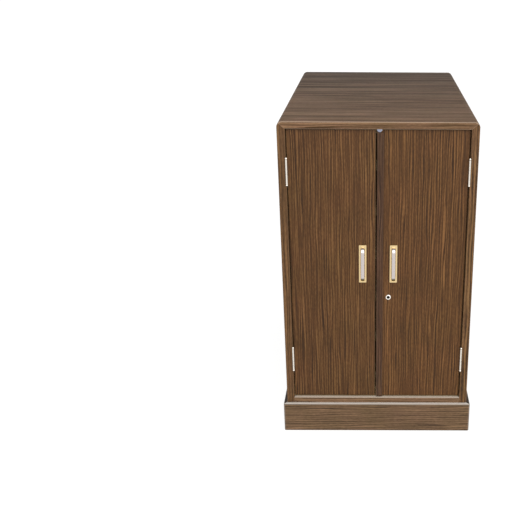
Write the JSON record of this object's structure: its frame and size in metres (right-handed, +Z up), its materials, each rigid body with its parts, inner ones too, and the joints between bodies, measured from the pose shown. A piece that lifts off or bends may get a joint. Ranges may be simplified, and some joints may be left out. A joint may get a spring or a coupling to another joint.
{
  "type": "two-door storage chest",
  "caption": "Tall two-door wooden chest with rounded top edges on a wider plinth, bow handles, ball-tipped hinges, a lock and pull-out trays inside.",
  "frame": {"origin": "on the floor, at the middle of the whole chest's footprint", "axes": "+Z up, -Y towards the front with the doors, +X to the right as seen from the front"},
  "size_m": [0.436, 0.676, 0.736],
  "materials": {
    "burnt_top": "satin",
    "burnt_side": "satin",
    "burnt_plinth": "satin",
    "burnt_door": "satin",
    "burnt_strip": "satin",
    "pale_paulownia": "matte",
    "hinge_metal": "satin",
    "screw_metal": "satin",
    "gilt_plate": "polished",
    "satin_nickel": "satin",
    "lock_brass": "satin",
    "plug_brass": "satin",
    "magnet": "matte"
  },
  "bodies": {
    "case": {"top_panel": "burnt_top", "bottom_panel": "burnt_top", "left_side_panel": "burnt_side", "right_side_panel": "burnt_side", "plinth_front": "burnt_plinth", "plinth_back": "burnt_plinth", "plinth_left": "burnt_plinth", "plinth_right": "burnt_plinth", "back_panel": "pale_paulownia", "plinth_blocks": "pale_paulownia", "tray_runners_left": "pale_paulownia", "tray_runners_right": "pale_paulownia", "door_stop_top": "pale_paulownia", "door_stop_bottom": "pale_paulownia", "tray_1": "pale_paulownia", "tray_2": "pale_paulownia", "tray_3": "pale_paulownia", "tray_4": "pale_paulownia", "tray_5": "pale_paulownia", "tray_6": "pale_paulownia", "left_upper_case_leaf": "hinge_metal", "left_upper_hinge_pin": "hinge_metal", "left_lower_case_leaf": "hinge_metal", "left_lower_hinge_pin": "hinge_metal", "right_upper_case_leaf": "hinge_metal", "right_upper_hinge_pin": "hinge_metal", "right_lower_case_leaf": "hinge_metal", "right_lower_hinge_pin": "hinge_metal", "case_leaf_screws": "screw_metal", "catch_magnet": "magnet"},
    "left_leaf": {"left_door": "burnt_door", "left_upper_door_leaf": "hinge_metal", "left_lower_door_leaf": "hinge_metal", "left_door_leaf_screws": "screw_metal", "left_handle_plate": "gilt_plate", "left_handle_bow": "satin_nickel", "left_handle_screws": "screw_metal", "lock_keeper": "lock_brass", "upper_bolt_body": "lock_brass", "lower_bolt_body": "lock_brass"},
    "right_leaf": {"right_door": "burnt_door", "meeting_strip": "burnt_strip", "right_upper_door_leaf": "hinge_metal", "right_lower_door_leaf": "hinge_metal", "right_door_leaf_screws": "screw_metal", "right_handle_plate": "gilt_plate", "right_handle_bow": "satin_nickel", "right_handle_screws": "screw_metal", "lock_ring": "satin_nickel", "lock_case": "lock_brass", "lock_case_screws": "screw_metal", "catch_strike": "satin_nickel"},
    "key": {"key_plug": "plug_brass"},
    "bolt": {"lock_bolt": "lock_brass"},
    "upper_rod": {"upper_bolt_rod": "lock_brass"},
    "lower_rod": {"lower_bolt_rod": "lock_brass"}
  },
  "joints": [
    {"name": "left_door_swing", "type": "hinge", "parent": "case", "child": "left_leaf", "pos_m": [-0.19225, -0.3292, 0.40275], "axis": [0, 0, -1], "range_deg": [0, 178]},
    {"name": "right_door_swing", "type": "hinge", "parent": "case", "child": "right_leaf", "pos_m": [0.19225, -0.3292, 0.40275], "axis": [0, 0, 1], "range_deg": [0, 178]},
    {"name": "key_turn", "type": "hinge", "parent": "right_leaf", "child": "key", "pos_m": [0.0242, -0.322, 0.33925], "axis": [0, -1, 0], "range_deg": [0, 90]},
    {"name": "lock_bolt_throw", "type": "slide", "parent": "right_leaf", "child": "bolt", "axis": [-1, 0, 0], "range_m": [0, 0.012]},
    {"name": "upper_bolt_slide", "type": "slide", "parent": "left_leaf", "child": "upper_rod", "axis": [0, 0, 1], "range_m": [0, 0.01]},
    {"name": "lower_bolt_slide", "type": "slide", "parent": "left_leaf", "child": "lower_rod", "axis": [0, 0, -1], "range_m": [0, 0.01]}
  ],
  "couplings": [
    {"joint": "key_turn", "follows": "lock_bolt_throw", "rad_per_m": 130.9}
  ]
}
